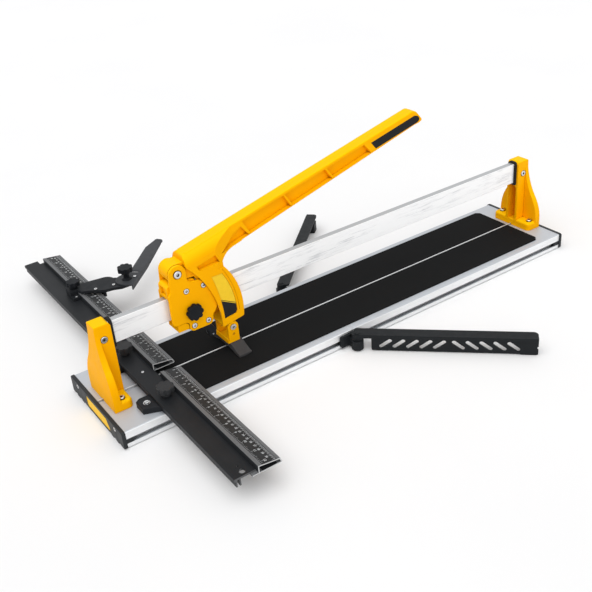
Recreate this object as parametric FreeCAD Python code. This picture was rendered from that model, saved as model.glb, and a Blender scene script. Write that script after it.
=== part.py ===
"""Manual tile cutter: an extruded bed with a guide rail on two posts, a carriage with
scoring wheel, lever and breaking foot, a lateral stop with angle fence and two swing arms.

Frame: X along the rail, Y to the back, Z up. The origin is on the table, under the middle
of the bed. Everything is in millimetres.
"""
import FreeCAD, Part
import math
import os

V = FreeCAD.Vector
X_AXIS, Y_AXIS, Z_AXIS = V(1, 0, 0), V(0, 1, 0), V(0, 0, 1)

# ---------------------------------------------------------------- driving dimensions
# bed
bed_length = 944.0
bed_width = 194.0
deck_top = 30.0
deck_thick = 3.5
foot_height = 1.0            # rubber feet below the extrusion
wall = 2.5
slot_low, slot_high = 8.0, 16.5      # mouth of the T-slot in each long side
slot_lip = 2.6
slot_depth = 8.0
slot_undercut = 2.2
keel_width = 28.0            # hollow keel under the breaking bar
leg_from_side = 37.0         # inner leg of each side box
bar_width, bar_proud, bar_seat = 2.0, 3.0, 3.0
pad_thick = 2.0
pad_width = 81.3
pad_post_gap = 10.0          # right-hand post to the pads' end
pad_gap = 0.2                # pad to bar
cap_thick = 6.0
cap_margin = 2.0             # cap stands out past the extrusion's sides
cap_prong = 12.0
cap_screw_in, cap_screw_z = 26.0, 23.0        # cap_screw_in is from the bed's long side

# rail and posts
rail_width, rail_height = 11.5, 40.0
rail_bottom = 123.5
post_inset_left, post_inset_right = 9.0, 2.0      # bed's end to the post's outer face
post_depth = 32.0
post_top = 166.8
post_half_top, post_half_foot = 13.5, 46.5
post_wall = 4.0
post_rim = 12.0              # thickness of the flared flange
post_foot_height = 15.0
rail_socket = 22.0           # rail end inside the post
post_screw_y, post_screw_in = 35.0, 18.0     # post_screw_in is from the outer face
rail_screw_in, rail_screw_z = 14.0, 141.0     # rail_screw_in is from the inner face
seal_thick = 5.0
seal_margin = 3.6

# carriage
pivot_x, pivot_z = -312.5, 204.5
ear_r = 15.0
carriage_half = 18.0
plate_thick = 4.0
roller_x = (-302.0, -271.1)
roller_r = 7.2
roller_gap = 0.3             # running gap between roller and rail
lower_screw_x = (-296.6, -271.1)
lower_screw_z = 105.7
knob_x, knob_z = -295.0, 132.6
star_knob_r = 14.4
rail_gap = 0.3               # slide pad to rail
slide_left, slide_pad_thick = -322.0, 3.0
plate_low = 116.2            # lower edge of the side plates, left of the screw bosses

# scoring wheel
holder_left, holder_right = -293.4, -275.0
holder_near, holder_far = -13.6, -7.1
fork_far = 1.9               # slim enough to pass between the two rules
wheel_x, wheel_z, wheel_r = -264.0, 74.0, 6.0
wheel_thick = 1.6

# lever
lever_half = 12.5
lever_slope = math.tan(math.radians(13.1))
lever_tip_x = 192.0
sector_half = 22.0
sector_inner = 18.5
hub_r, hub_half = 15.6, 13.2
rib_x = (-190.0, -106.0, -21.0, 62.0)
grip_start, grip_end, grip_depth = 76.5, 185.0, 4.0
grip_flange = 9.2            # lever's top edge to the grip
foot_pin_x, foot_pin_z, foot_pin_r = -230.5, 77.0, 3.0

# breaking foot
ear_half = 20.5
ear_thick = 3.0
wing_left, wing_right = -239.5, -215.8
wing_reach = 47.5
wing_edge = 4.7

# lateral stop
stop_post_gap, stop_width = 24.4, 34.6
stop_high, stop_thick = 15.5, 3.0            # top above the deck
stop_near, stop_far = -306.0, 504.0
stop_lip_gap = 1.0           # deck to the plate's ribs
ruler_gap, ruler_width = 0.6, 38.4
ruler_rise, ruler_fall = 8.5, 4.7            # above the stop plate, down to the right
ruler_wall = 1.6
ruler_hook = 10.0
rear_ruler = (2.5, 490.0)
front_ruler = (-312.0, -24.0)
clamp_in, clamp_y = 18.9, 74.0               # clamp_in is from the plate's left edge
clamp_knob_r, clamp_knob_high = 14.5, 16.5
ruler_screw_y = (-296.0, -160.0, -36.0, 22.0, 240.0, 470.0)
plate_screw_in, plate_screw_y = 17.6, 5.0
block_thick = 10.5
block_screw_out, block_screw_y = 11.6, 66.6   # left of the plate's left edge

# angle fence
slider_gap, slider_thick = 0.6, 5.4          # slider_gap is above the rule
slider_knob_out, slider_knob_back = 1.6, 42.5
fence_reach, fence_y = 49.0, 279.0           # pivot right of the rule
fence_angle = 45.0
fence_gap, fence_thick = 0.3, 2.4
fence_right, fence_left = 19.2, 3.6
fence_tip = 163.0
fence_disc_r = 21.0
fence_flange_deep = 8.0
fence_screw_in, fence_screw_off = 9.0, 12.5

# swing arms
arm_x, arm_out = -48.6, 18.0                 # pivot outside the bed's long side
arm_angle = 44.0
arm_length = 297.0
arm_top = 32.0
arm_inner, arm_outer = 15.5, 6.5
arm_thick = 3.0
arm_slots, arm_pitch = 5, 22.4
knuckle_r = 10.5

side = bed_width / 2
half = bed_length / 2
rail_top = rail_bottom + rail_height
roller_axle_z = rail_top + roller_r
rail_mid = (post_inset_left - post_inset_right) / 2       # the posts stand symmetric about it
post_out = half - (post_inset_left + post_inset_right) / 2
arm_y = side + arm_out
cap_screw_y = side - cap_screw_in

stop_left = rail_mid - post_out + post_depth + stop_post_gap
stop_right = stop_left + stop_width
stop_top = deck_top + stop_high
stop_lip_bottom = deck_top + stop_lip_gap
pad_left = stop_right
pad_right = rail_mid + post_out - post_depth - pad_post_gap
ruler_left = stop_right + ruler_gap
ruler_right = ruler_left + ruler_width
ruler_high = stop_top + ruler_rise
ruler_low = ruler_high - ruler_fall
ruler_screw_x = stop_right - 4.5
clamp_x = stop_left + clamp_in
plate_screw_x = stop_left + plate_screw_in
block_high = deck_top + block_thick
block_screw_x = stop_left - block_screw_out

fence_x = ruler_right + fence_reach
slider_low = ruler_high + slider_gap
slider_high = slider_low + slider_thick
fence_low = slider_high + fence_gap
fence_flange_low = fence_low - fence_flange_deep
slider_knob_x, slider_knob_y = ruler_left - slider_knob_out, fence_y + slider_knob_back
slider_screw_spots = ((fence_x - 27.2, fence_y + 0.4, slider_high),
                      (fence_x - 60.0, fence_y + 8.5, slider_high),
                      (fence_x - 93.5, fence_y + 23.0, stop_top + 5.5))


# ---------------------------------------------------------------- shape helpers
def box(x, y, z):
    """Box from three (low, high) pairs."""
    return Part.makeBox(x[1] - x[0], y[1] - y[0], z[1] - z[0], V(x[0], y[0], z[0]))


def rod(centre, axis, radius, length):
    """Round bar that starts at centre and runs along axis."""
    return Part.makeCylinder(radius, length, V(*centre), axis)


def face(path, place):
    """Closed face through the steps of path. A step is a corner (a, b) or a bow
    ((middle a, b), (corner a, b)). place turns (a, b) into a point in space."""
    corners = [step[1] if isinstance(step[0], tuple) else step for step in path]
    edges = []
    for i, step in enumerate(path):
        start, end = place(*corners[i - 1]), place(*corners[i])
        if isinstance(step[0], tuple):
            edges.append(Part.Arc(start, place(*step[0]), end).toShape())
        elif start.distanceToPoint(end) > 1e-6:
            edges.append(Part.makeLine(start, end))
    return Part.Face(Part.Wire(edges))


def slab(path, y_low, y_high):
    """Outline in X and Z, as thick as the Y range."""
    return face(path, lambda a, b: V(a, y_low, b)).extrude(V(0, y_high - y_low, 0))


def sheet(path, z_low, z_high):
    """Outline in X and Y, as thick as the Z range."""
    return face(path, lambda a, b: V(a, b, z_low)).extrude(V(0, 0, z_high - z_low))


def bar(path, x_low, x_high):
    """Outline in Y and Z, as long as the X range."""
    return face(path, lambda a, b: V(x_low, a, b)).extrude(V(x_high - x_low, 0, 0))


def join(shapes):
    first, rest = shapes[0], shapes[1:]
    return first.fuse(list(rest)).removeSplitter() if rest else first


def group(shapes):
    return Part.makeCompound(list(shapes))


def both_sides(shape):
    """The shape and its mirror image across the rail's plane."""
    return [shape, shape.mirror(V(0, 0, 0), Y_AXIS)]


def soften(shape, radius, wanted):
    """Round the edges for which wanted(edge) holds."""
    edges = [edge for edge in shape.Edges if wanted(edge)]
    return shape.makeFillet(radius, edges)


def on_plane(edge, axis, value):
    """True for an edge that lies whole in the plane axis = value."""
    low, high = (getattr(edge.BoundBox, axis + limit) for limit in ("Min", "Max"))
    return abs(low - value) < 1e-4 and abs(high - value) < 1e-4


def upright(edge):
    size = edge.BoundBox
    return size.ZLength > 1e-3 and size.XLength < 1e-4 and size.YLength < 1e-4


def star(centre, axis, radius, lobes, height):
    """Grip with rounded lobes round its rim."""
    step = 360.0 / lobes
    at = lambda share, degrees: V(*centre) + spoke(axis, share * radius, degrees)
    edges = []
    for i in range(lobes):
        lobe = i * step
        corners = at(0.94, lobe - 0.3 * step), at(0.94, lobe + 0.3 * step)
        edges.append(Part.Arc(corners[0], at(1.0, lobe), corners[1]).toShape())
        following = at(0.94, lobe + 0.7 * step)
        edges.append(Part.Arc(corners[1], at(0.85, lobe + 0.5 * step), following).toShape())
    body = Part.Face(Part.Wire(edges)).extrude(axis * height)
    top = (V(*centre) + axis * height).dot(axis)
    rim = [e for e in body.Edges
           if all(abs(v.Point.dot(axis) - top) < 1e-3 for v in e.Vertexes)]
    return body.makeFillet(1.0, rim)


def cap_screw(centre, axis, head_r, head_high, shank_r, shank_long, socket_r):
    """Socket screw: centre is under the head, axis points out of the head."""
    head = rod(centre, axis, head_r, head_high)
    head = head.makeFillet(head_high * 0.35, [head.Edges[0]])
    start = V(*centre)
    shank = Part.makeCylinder(shank_r, shank_long, start, axis * -1)
    hexagon = Part.makePolygon(
        [start + axis * head_high + spoke(axis, socket_r, 60 * i) for i in range(7)])
    socket = Part.Face(hexagon).extrude(axis * (-head_high * 0.6))
    return join([head, shank]).cut(socket)


def spoke(axis, radius, degrees):
    across = X_AXIS if abs(axis.x) < 0.5 else Y_AXIS
    return FreeCAD.Rotation(axis, degrees).multVec(across) * radius


def save(name, shape):
    if not shape.isValid():
        shape = shape.copy()
        shape.fix(1e-4, 1e-4, 1e-3)
    shape.exportStep("parts/%s.step" % name)


# ---------------------------------------------------------------- bed
def bed_extrusion():
    low = foot_height
    deck = box((-half, half), (-side, side), (deck_top - deck_thick, deck_top))
    inner = side - leg_from_side
    side_box = box((-half, half), (inner, side), (low, deck_top))
    tunnel_out = side - slot_depth - wall
    side_box = side_box.cut(box((-half, half), (inner + wall, tunnel_out),
                                (low + wall, deck_top - deck_thick)))
    mouth = box((-half, half), (side - slot_lip, side), (slot_low, slot_high))
    cavity = box((-half, half), (side - slot_depth, side - slot_lip),
                 (slot_low - slot_undercut, slot_high + slot_undercut))
    side_box = side_box.cut(mouth).cut(cavity)
    keel = box((-half, half), (-keel_width / 2, keel_width / 2), (low, deck_top))
    keel = keel.cut(box((-half, half), (-keel_width / 2 + wall, keel_width / 2 - wall),
                        (low + wall, deck_top - deck_thick - bar_seat)))
    body = join([deck, keel] + both_sides(side_box))
    body = body.cut(box((-half, half), (-bar_width / 2, bar_width / 2),
                        (deck_top - bar_seat, deck_top)))
    for x in (rail_mid + post_out - post_screw_in, rail_mid - post_out + post_screw_in):
        for y in (-post_screw_y, post_screw_y):
            body = body.cut(rod((x, y, deck_top - deck_thick - 1), Z_AXIS, 2.6, 10))
    rim_edges = [e for e in body.Edges if on_plane(e, "Z", deck_top)
                 and abs(abs(e.BoundBox.YMin) - side) < 1e-3 and e.BoundBox.XLength > half]
    return body.makeFillet(2.5, rim_edges)


def breaking_bar():
    return box((-half, half), (-bar_width / 2, bar_width / 2),
               (deck_top - bar_seat, deck_top + bar_proud))


def rubber_pad():
    near = bar_width / 2 + pad_gap
    far = near + pad_width
    corner = 7.0
    path = [(pad_left, near), (pad_right, near), (pad_right, far - corner),
            (pad_right - corner, far), (pad_left, far)]
    return sheet(path, deck_top, deck_top + pad_thick)


def end_cap():
    """Right-hand cap; the left one is its mirror image."""
    out = side + cap_margin
    low, high = foot_height - 0.4, deck_top + 1.0
    scallop = 3.2
    path = [(-out, low + 3), (-out, high - 4), ((-out + 1.2, high - 1.2), (-out + 4, high)),
            (out - 4, high), ((out - 1.2, high - 1.2), (out, high - 4)), (out, low + 3),
            ((out - 0.9, low + 0.9), (out - 3, low))]
    pads = (side - 13, side - 31, side - 49)
    for centre in pads + tuple(-p for p in reversed(pads)):
        path += [(centre + 5, low), ((centre, low + scallop), (centre - 5, low))]
    path += [(-out + 3, low), ((-out + 0.9, low + 0.9), (-out, low + 3))]
    plate = bar(path, half, half + cap_thick)
    plate = soften(plate, 1.5,
                   lambda e: on_plane(e, "X", half + cap_thick) and e.BoundBox.YLength > 30)
    plate = plate.cut(bar(label_outline(0), half + cap_thick - 1.0, half + cap_thick))
    fit = 0.25
    tongue = box((half - cap_prong, half),
                 (side - leg_from_side + wall + fit, side - slot_depth - wall - fit),
                 (foot_height + wall + fit, deck_top - deck_thick - fit))
    prong = box((half - cap_prong, half), (side - slot_depth + fit, side - 0.2),
                (slot_low + fit, slot_high - fit))
    body = join([plate] + both_sides(tongue) + both_sides(prong))
    for y in (-cap_screw_y, cap_screw_y):
        body = body.cut(rod((half - cap_prong, y, cap_screw_z), X_AXIS, 2.0, 30))
        body = body.cut(rod((half + cap_thick - 2.2, y, cap_screw_z), X_AXIS, 4.3, 5))
    return body


def cap_screws():
    one = lambda y: cap_screw((half + cap_thick - 2.2, y, cap_screw_z), X_AXIS, 4.0, 2.2, 1.95, 12, 1.6)
    right = [one(-cap_screw_y), one(cap_screw_y)]
    return group(right + [s.mirror(V(0, 0, 0), X_AXIS) for s in right])


def label_outline(inset):
    near, far, low, high = -49 + inset, 36 - inset, 6.0 + inset, 25.0 - inset
    return [(near, low), (far - 3, low), (far, low + 4), (far, high), (near + 9, high),
            (near, high - 13)]


def cap_labels():
    one = bar(label_outline(0.3), half + cap_thick - 1.0, half + cap_thick - 0.3)
    return group([one, one.mirror(V(0, 0, 0), X_AXIS)])


def rubber_feet():
    spots = [(x, y) for x in (-half + 22, half - 22) for y in (-side + 15, side - 15)] + [(0, 0)]
    return group(rod((x, y, 0), Z_AXIS, 9.0, foot_height) for x, y in spots)


# ---------------------------------------------------------------- posts and rail
def post():
    """Right-hand post: outer face at rail_mid + post_out, open towards the rail."""
    outer = rail_mid + post_out
    inner = outer - post_depth
    top, foot = post_top, deck_top + post_foot_height
    flare = [(post_half_foot, foot), ((post_half_foot - 4.5, 75), (31, 97)),
             ((18.2, 127), (post_half_top, 152)), (post_half_top, top)]
    rim = outer - post_rim
    back = bar([(-post_half_foot, deck_top), (post_half_foot, deck_top)] + flare
               + mirrored(flare), rim, outer)
    side_y = post_half_top
    lean = 5.0
    wedge = slab([(outer + 1, foot), (outer + 1, top + 1), (outer - lean, top + 1)],
                 -post_half_foot, post_half_foot)
    tower = box((inner, outer - 5), (-side_y, side_y), (deck_top, top))
    flat = post_half_foot
    base = sheet([(inner + 8, -flat), (outer, -flat), (outer, flat), (inner + 8, flat),
                  ((inner + 2.4, flat - 2.4), (inner, flat - 9)), (inner, -flat + 9),
                  ((inner + 2.4, -flat + 2.4), (inner + 8, -flat))], deck_top, foot)
    base = soften(base, 5.0, lambda e: on_plane(e, "Z", foot) and e.BoundBox.XMin < outer - 1)
    hollow_y = side_y - post_wall
    body = join([back, tower, base]).cut(wedge)
    brow = slab([(inner - 1, top - 7), (inner, top - 5), ((inner + 2.4, top - 1.6), (inner + 8, top)),
                 (inner + 8, top + 1), (inner - 1, top + 1)], -post_half_top - 1, post_half_top + 1)
    body = body.cut(brow)
    body = soften(body, 2.0, lambda e: on_plane(e, "Z", top) and e.BoundBox.XMax > inner + 9)
    arch = rail_bottom - 5 - hollow_y
    hollow = bar([(-hollow_y, foot - 3), (hollow_y, foot - 3), (hollow_y, arch),
                  ((0, arch + hollow_y), (-hollow_y, arch))], inner - 1, outer - 9)
    pocket = box((inner - 1, inner + rail_socket + 0.2),
                 (-rail_width / 2 - 0.05, rail_width / 2 + 0.05),
                 (rail_bottom - 0.05, rail_top + 0.05))
    body = body.cut(hollow).cut(pocket)
    body = body.cut(box((inner - 1, outer + 1), (-bar_width / 2 - 0.3, bar_width / 2 + 0.3),
                        (deck_top, deck_top + bar_proud + 0.3)))
    for y in (-post_screw_y, post_screw_y):
        body = body.cut(rod((outer - post_screw_in, y, deck_top - 1), Z_AXIS, 2.7, 40))
        body = body.cut(rod((outer - post_screw_in, y, foot - 1.5), Z_AXIS, 6.0, 60))
    x = inner + rail_screw_in
    body = body.cut(rod((x, -40, rail_screw_z), Y_AXIS, 2.6, 80))
    body = body.cut(rod((x, -post_half_top - 6, rail_screw_z), Y_AXIS, 6.2, 8.0))
    return body


def mirrored(path):
    """The same outline steps on the other side, walked backwards."""
    corners = [step[1] if isinstance(step[0], tuple) else step for step in path]
    back = [(-corners[-1][0], corners[-1][1])]
    for i in range(len(path) - 1, 0, -1):
        end = (-corners[i - 1][0], corners[i - 1][1])
        if isinstance(path[i][0], tuple):
            back.append(((-path[i][0][0], path[i][0][1]), end))
        else:
            back.append(end)
    return back


def other_post(shape):
    return shape.mirror(V(rail_mid, 0, 0), X_AXIS)


def post_screws():
    x = rail_mid + post_out - post_screw_in
    z = deck_top + post_foot_height - 1.5
    right = [cap_screw((x, y, z), Z_AXIS, 5.0, 4.5, 2.5, z - deck_top + 3, 2.2)
             for y in (-post_screw_y, post_screw_y)]
    return group(right + [other_post(s) for s in right])


def rail_screws():
    x = rail_mid + post_out - post_depth + rail_screw_in
    right = cap_screw((x, -post_half_top + 2.0, rail_screw_z), Y_AXIS * -1, 5.6, 3.2, 2.5, 22, 2.4)
    return group([right, other_post(right)])


def rail():
    reach = post_out - post_depth + rail_socket
    body = box((rail_mid - reach, rail_mid + reach), (-rail_width / 2, rail_width / 2),
               (rail_bottom, rail_top))
    body = soften(body, 1.0, lambda e: e.BoundBox.XLength > reach)
    for sign in (-1, 1):
        x = rail_mid + sign * (post_out - post_depth + rail_screw_in)
        body = body.cut(rod((x, -20, rail_screw_z), Y_AXIS, 2.6, 40))
    return body


def rail_seal():
    start = rail_mid + post_out - post_depth
    y = rail_width / 2 + seal_margin
    low, high = rail_bottom - seal_margin, rail_top + seal_margin
    body = box((start - seal_thick, start), (-y, y), (low, high))
    body = soften(body, 6.0, lambda e: e.BoundBox.XLength > seal_thick - 0.1 and e.BoundBox.ZMin > rail_top)
    return body.cut(box((start - 20, start + 20), (-rail_width / 2, rail_width / 2),
                        (rail_bottom, rail_top)))


# ---------------------------------------------------------------- carriage
def carriage_plate_path():
    left, right = lower_screw_x
    boss, z = 9.0, lower_screw_z
    return [(pivot_x + ear_r, pivot_z), ((pivot_x, pivot_z + ear_r), (pivot_x - ear_r, pivot_z)),
            (-329.0, 177), (-333.2, 171), (-333.2, 124), ((-331, 118.5), (-325.5, plate_low)),
            (-311, plate_low), ((-306.5, 114), (left - boss, z)),
            ((left - 6.4, z - 6.4), (left, z - boss)), (right, z - boss),
            ((right + 6.4, z - 6.4), (right + boss, z)), (right + 10.5, 114),
            ((-254.5, 121), (-252.2, 131)), ((-257, 155), (-270.5, 176)),
            ((-275.5, 181.2), (-283, 183)), (-289, 184), ((-295.6, 187), (-297.5, 194))]


def carriage_plate(near):
    """Side plate with the ear for the lever's pivot."""
    outer = -carriage_half if near else carriage_half
    inner = outer + plate_thick if near else outer - plate_thick
    body = slab(carriage_plate_path(), min(outer, inner), max(outer, inner))
    body = body.makeFillet(1.2, [e for e in body.Edges if on_plane(e, "Y", outer)])
    out = Y_AXIS * (-1 if near else 1)
    holes = [(x, roller_axle_z, 2.6, 5.3) for x in roller_x]
    holes += [(x, lower_screw_z, 2.6, 5.3) for x in lower_screw_x]
    holes += [(pivot_x, pivot_z, 4.05, 7.6)]
    for x, z, hole_r, sink_r in holes:
        body = body.cut(rod((x, -30, z), Y_AXIS, hole_r, 60))
        body = body.cut(rod((x, outer - out.y * 1.2, z), out, sink_r, 5))
    if near:
        body = body.cut(rod((knob_x, -30, knob_z), Y_AXIS, 3.05, 20))
    return body


def carriage_bridge():
    """Joins the plates over the rail, behind the rollers."""
    inner = carriage_half - plate_thick
    low, high = roller_axle_z + roller_r + 1.2, pivot_z - hub_r - 0.8
    path = [(-333, rail_top + 1.2), (-326, rail_top + 1.2), (-322, low), (-284, low),
            (-284, high - 3), (-290, high), (-326, high), ((-331, high - 2), (-333, high - 8))]
    body = slab(path, -inner, inner)
    return body.cut(box((-334, -329), (-9, 9), (rail_top + 5, high - 5)))


def carriage_floor():
    """Block under the rail that closes the carriage and guides the wheel holder."""
    inner = carriage_half - plate_thick
    high = rail_bottom - slide_pad_thick - rail_gap
    left, lip, recess = -325.0, 107.0, -312.0
    body = slab([(left, 103.5), (-309, 103.5), (-301, 97.5), (-262.5, 97.5), (-262.5, high),
                 (slide_left, high), (slide_left, plate_low), (recess, plate_low), (recess, lip),
                 (left, lip)], -inner, inner)
    skirt_high = plate_low - 0.3
    skirt = slab([(left, 103.5), (left, skirt_high), (recess, skirt_high),
                  ((-307.8, 113.4), (-306.2, 106)), (-306.6, 103.5)], -17.2, 17.2)
    skirt = skirt.cut(box((left - 1, recess), (-inner, inner), (lip, rail_bottom)))
    body = join([body, skirt])
    channel = box((holder_left - 0.5, -262), (-inner - 1, holder_far + 0.4), (80, 130))
    body = body.cut(channel)
    for x in lower_screw_x:
        body = body.cut(rod((x, -30, lower_screw_z), Y_AXIS, 2.6, 60))
    return body


def slide_pad():
    high = rail_bottom - rail_gap
    return box((slide_left, -262.5), (holder_far + 0.4, carriage_half - plate_thick),
               (high - slide_pad_thick, high))


def carriage_screws():
    """Four through bolts: two carry the rollers, two hold the floor block."""
    out = Y_AXIS * -1
    spots = [(x, roller_axle_z) for x in roller_x] + [(x, lower_screw_z) for x in lower_screw_x]
    bolts = []
    for x, z in spots:
        bolt = cap_screw((x, -carriage_half + 1.2, z), out, 4.4, 1.4, 2.5,
                         2 * carriage_half - 1.2, 2.2)
        bolts.append(join([bolt, rod((x, carriage_half - 1.2, z), Y_AXIS, 4.4, 1.4)]))
    return group(bolts)


def pivot_bolt():
    bolt = cap_screw((pivot_x, -carriage_half + 1.2, pivot_z), Y_AXIS * -1, 6.4, 3.0, 4.0,
                     2 * carriage_half - 1.2, 3.0)
    return join([bolt, rod((pivot_x, carriage_half - 1.2, pivot_z), Y_AXIS, 6.8, 3.0)])


def guide_roller(x):
    width = rail_width / 2 + 0.6
    body = rod((x, -width, roller_axle_z), Y_AXIS, roller_r - roller_gap, 2 * width)
    hub = rod((x, -12.5, roller_axle_z), Y_AXIS, 4.4, 25)
    return join([body, hub]).cut(rod((x, -20, roller_axle_z), Y_AXIS, 2.56, 40))


def star_knob():
    """Clamp screw for the wheel holder, with its grip."""
    out = Y_AXIS * -1
    grip = star((knob_x, -carriage_half - 2.0, knob_z), out, star_knob_r, 8, 6.5)
    collar = rod((knob_x, -carriage_half - 0.4, knob_z), out, 8.0, 3.0)
    stud = rod((knob_x, -carriage_half - 1, knob_z), Y_AXIS, 3.0, 5.2)
    return join([grip, collar, stud])


# ---------------------------------------------------------------- scoring wheel
def wheel_holder():
    leg = box((holder_left, holder_right - 1.5), (holder_near, holder_far), (100, 168))
    toe = slab([(holder_left + 3, 104), (holder_left, 100), (wheel_x - 7, 84), (wheel_x - 6, 72),
                (wheel_x + 5, 72), (wheel_x + 6, 84), (holder_right, 104)],
               holder_near, holder_far)
    fork = slab([(wheel_x - 7, 84), (wheel_x - 5, 72), ((wheel_x, 70.4), (wheel_x + 5, 72)),
                 (wheel_x + 6, 84), (wheel_x + 3, 87), (wheel_x - 4, 87)], holder_far - 0.1, fork_far)
    body = join([leg, toe, fork])
    body = body.cut(box((wheel_x - 9, wheel_x + 9), (-wheel_thick / 2 - 0.25, wheel_thick / 2 + 0.25),
                        (60, wheel_z + wheel_r + 0.8)))
    return body.cut(rod((wheel_x, -20, wheel_z), Y_AXIS, 1.5, 40))


def wheel_axle():
    return rod((wheel_x, holder_near, wheel_z), Y_AXIS, 1.5, fork_far - holder_near)


def scoring_wheel():
    rim = wheel_r - wheel_thick / 2
    edge = [(rim, -wheel_thick / 2), (wheel_r, 0), (rim, wheel_thick / 2),
            (1.55, wheel_thick / 2), (1.55, -wheel_thick / 2)]
    profile = face(edge, lambda r, y: V(wheel_x + r, y, wheel_z))
    return profile.revolve(V(wheel_x, 0, wheel_z), Y_AXIS, 360)


# ---------------------------------------------------------------- lever
def lever_top(x):
    return 282.9 + (x + 72.0) * lever_slope


def lever_bottom(x):
    return 224.4 + (x + 169.9) * 0.2646


def lever_beam():
    knee = -225.0
    tip = lever_tip_x
    path = [(-292, lever_top(-292)), (-292, 204), (-246, 204),
            ((-236, 205.5), (knee, lever_bottom(knee))), (tip - 18, lever_bottom(tip - 18) - 2),
            (tip - 7.5, 315), (tip + 0.5, 318.5), (tip - 17, lever_top(tip - 17))]
    body = slab(path, -lever_half, lever_half)
    body = soften(body, 14.0, lambda e: across(e) and e.BoundBox.ZMin > 330)
    body = soften(body, 3.5, lambda e: across(e) and e.BoundBox.XMin > tip)
    return soften(body, 2.5, lambda e: e.BoundBox.YLength < 1e-4 and e.BoundBox.XMax > -200)


def across(edge):
    size = edge.BoundBox
    return size.YLength > 1e-3 and size.XLength < 1e-4 and size.ZLength < 1e-4


def side_pockets():
    """Hollows between the lever's flanges, near side, with slanting ribs between them."""
    flange, rib, lean = 5.5, 3.5, 14.0
    floor_y = -3.0
    knee = slab([(-233, 212.5), ((-217, 224), (-206, 234.5)), (rib_x[0], 243),
                 (rib_x[0] + lean, lever_bottom(rib_x[0] + lean) + 1.6),
                 (-221, lever_bottom(-221) + 1.6)], -sector_half - 1, floor_y)
    starts = tuple(x + rib for x in rib_x[:-1])
    pockets = [knee]
    for first, last in zip(starts, rib_x[1:]):
        high_first = lever_top(first) - flange
        high_last = lever_top(last) - flange
        low_last = lever_bottom(last + lean) + 1.6
        low_first = lever_bottom(first + lean) + 1.6
        path = [(first, high_first), (last, high_last), (last + lean, low_last),
                (first + lean, low_first)]
        pockets.append(slab(path, -sector_half - 1, floor_y))
    return pockets


def grip_path(inset):
    start, end = grip_start + inset, grip_end - inset
    low = lambda x: lever_bottom(x) + 3.0 + inset
    high = lambda x: lever_top(x) - grip_flange - inset
    return [(start, high(start)), (start + 10, low(start + 10)), (end - 5, low(end - 5) - 2.6),
            (end, low(end) + 0.4), (end - 4, high(end - 12) - 2.6), (end - 12, high(end - 12))]


def grip_pad(inset, outer_y):
    """Outline of the grip, rounded towards the lever's tip."""
    body = slab(grip_path(inset), outer_y, -lever_half + grip_depth)
    return soften(body, 2.5, lambda e: across(e) and e.BoundBox.XMin > grip_end - 14)


def knee_prism():
    """Rounded shoulders that run along the lever's slope."""
    z = lever_top(-298.0)
    path = [(-sector_half, 60), (-sector_half, z - 23), ((-19.2, z - 9), (-11.5, z - 1)), (-8, z),
            (8, z), (11.5, z - 1), ((19.2, z - 9), (sector_half, z - 23)), (sector_half, 60)]
    profile = face(path, lambda a, b: V(-298.0 - 10, a, b - 10 * lever_slope))
    return profile.extrude(V(140, 0, 140 * lever_slope))


def sector_shell():
    """Curved web that carries the breaking foot, with the knee above it."""
    path = [(-298.5, lever_top(-298.5) - 4), (-298.5, 212), ((-266, 166), (-248.5, 84.5)),
            (-210.5, 91), ((-208.5, 92), (-207.8, 95)), ((-211.5, 148), (-232, 190)),
            (-232.5, 199), ((-226, 207), (-214, lever_bottom(-214))),
            (-190, lever_bottom(-190)), (-190, lever_top(-190)), (-294.5, lever_top(-294.5)),
            ((-297.5, lever_top(-297.5) - 1.2), (-298.5, lever_top(-298.5) - 4))]
    outer = slab(path[1:], -sector_half, sector_half)
    taper = sheet([(-300, -sector_half), (-245, -sector_half), (-210, -lever_half),
                   (-189, -lever_half), (-189, lever_half), (-210, lever_half),
                   (-245, sector_half), (-300, sector_half)], 190, 280)
    lower = box((-300, -200), (-sector_half, sector_half), (60, 190))
    outer = outer.common(knee_prism()).common(join([taper, lower]))
    hollow = slab([(-320, 70), (-252, 88.5), (-215, 94.5), ((-218, 146), (-238, 186)),
                   (-246, 192), (-297, 192), (-320, 190)], -sector_inner, sector_inner)
    passage = box((-250, -200), (-rail_width / 2 - 3, rail_width / 2 + 3), (95, rail_top + 5))
    return outer.cut(hollow).cut(passage)


label_path = [(-257.5, 181), (-238, 181), ((-224.5, 148), (-219, 106)), (-222, 101),
              (-243.5, 98), ((-248.5, 146), (-257.5, 181))]


groove_path = [(-238.0, 188), ((-221.3, 146), (-215.9, 106)), (-214.7, 106),
               ((-219.9, 146.6), (-236.6, 188.6))]


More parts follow.
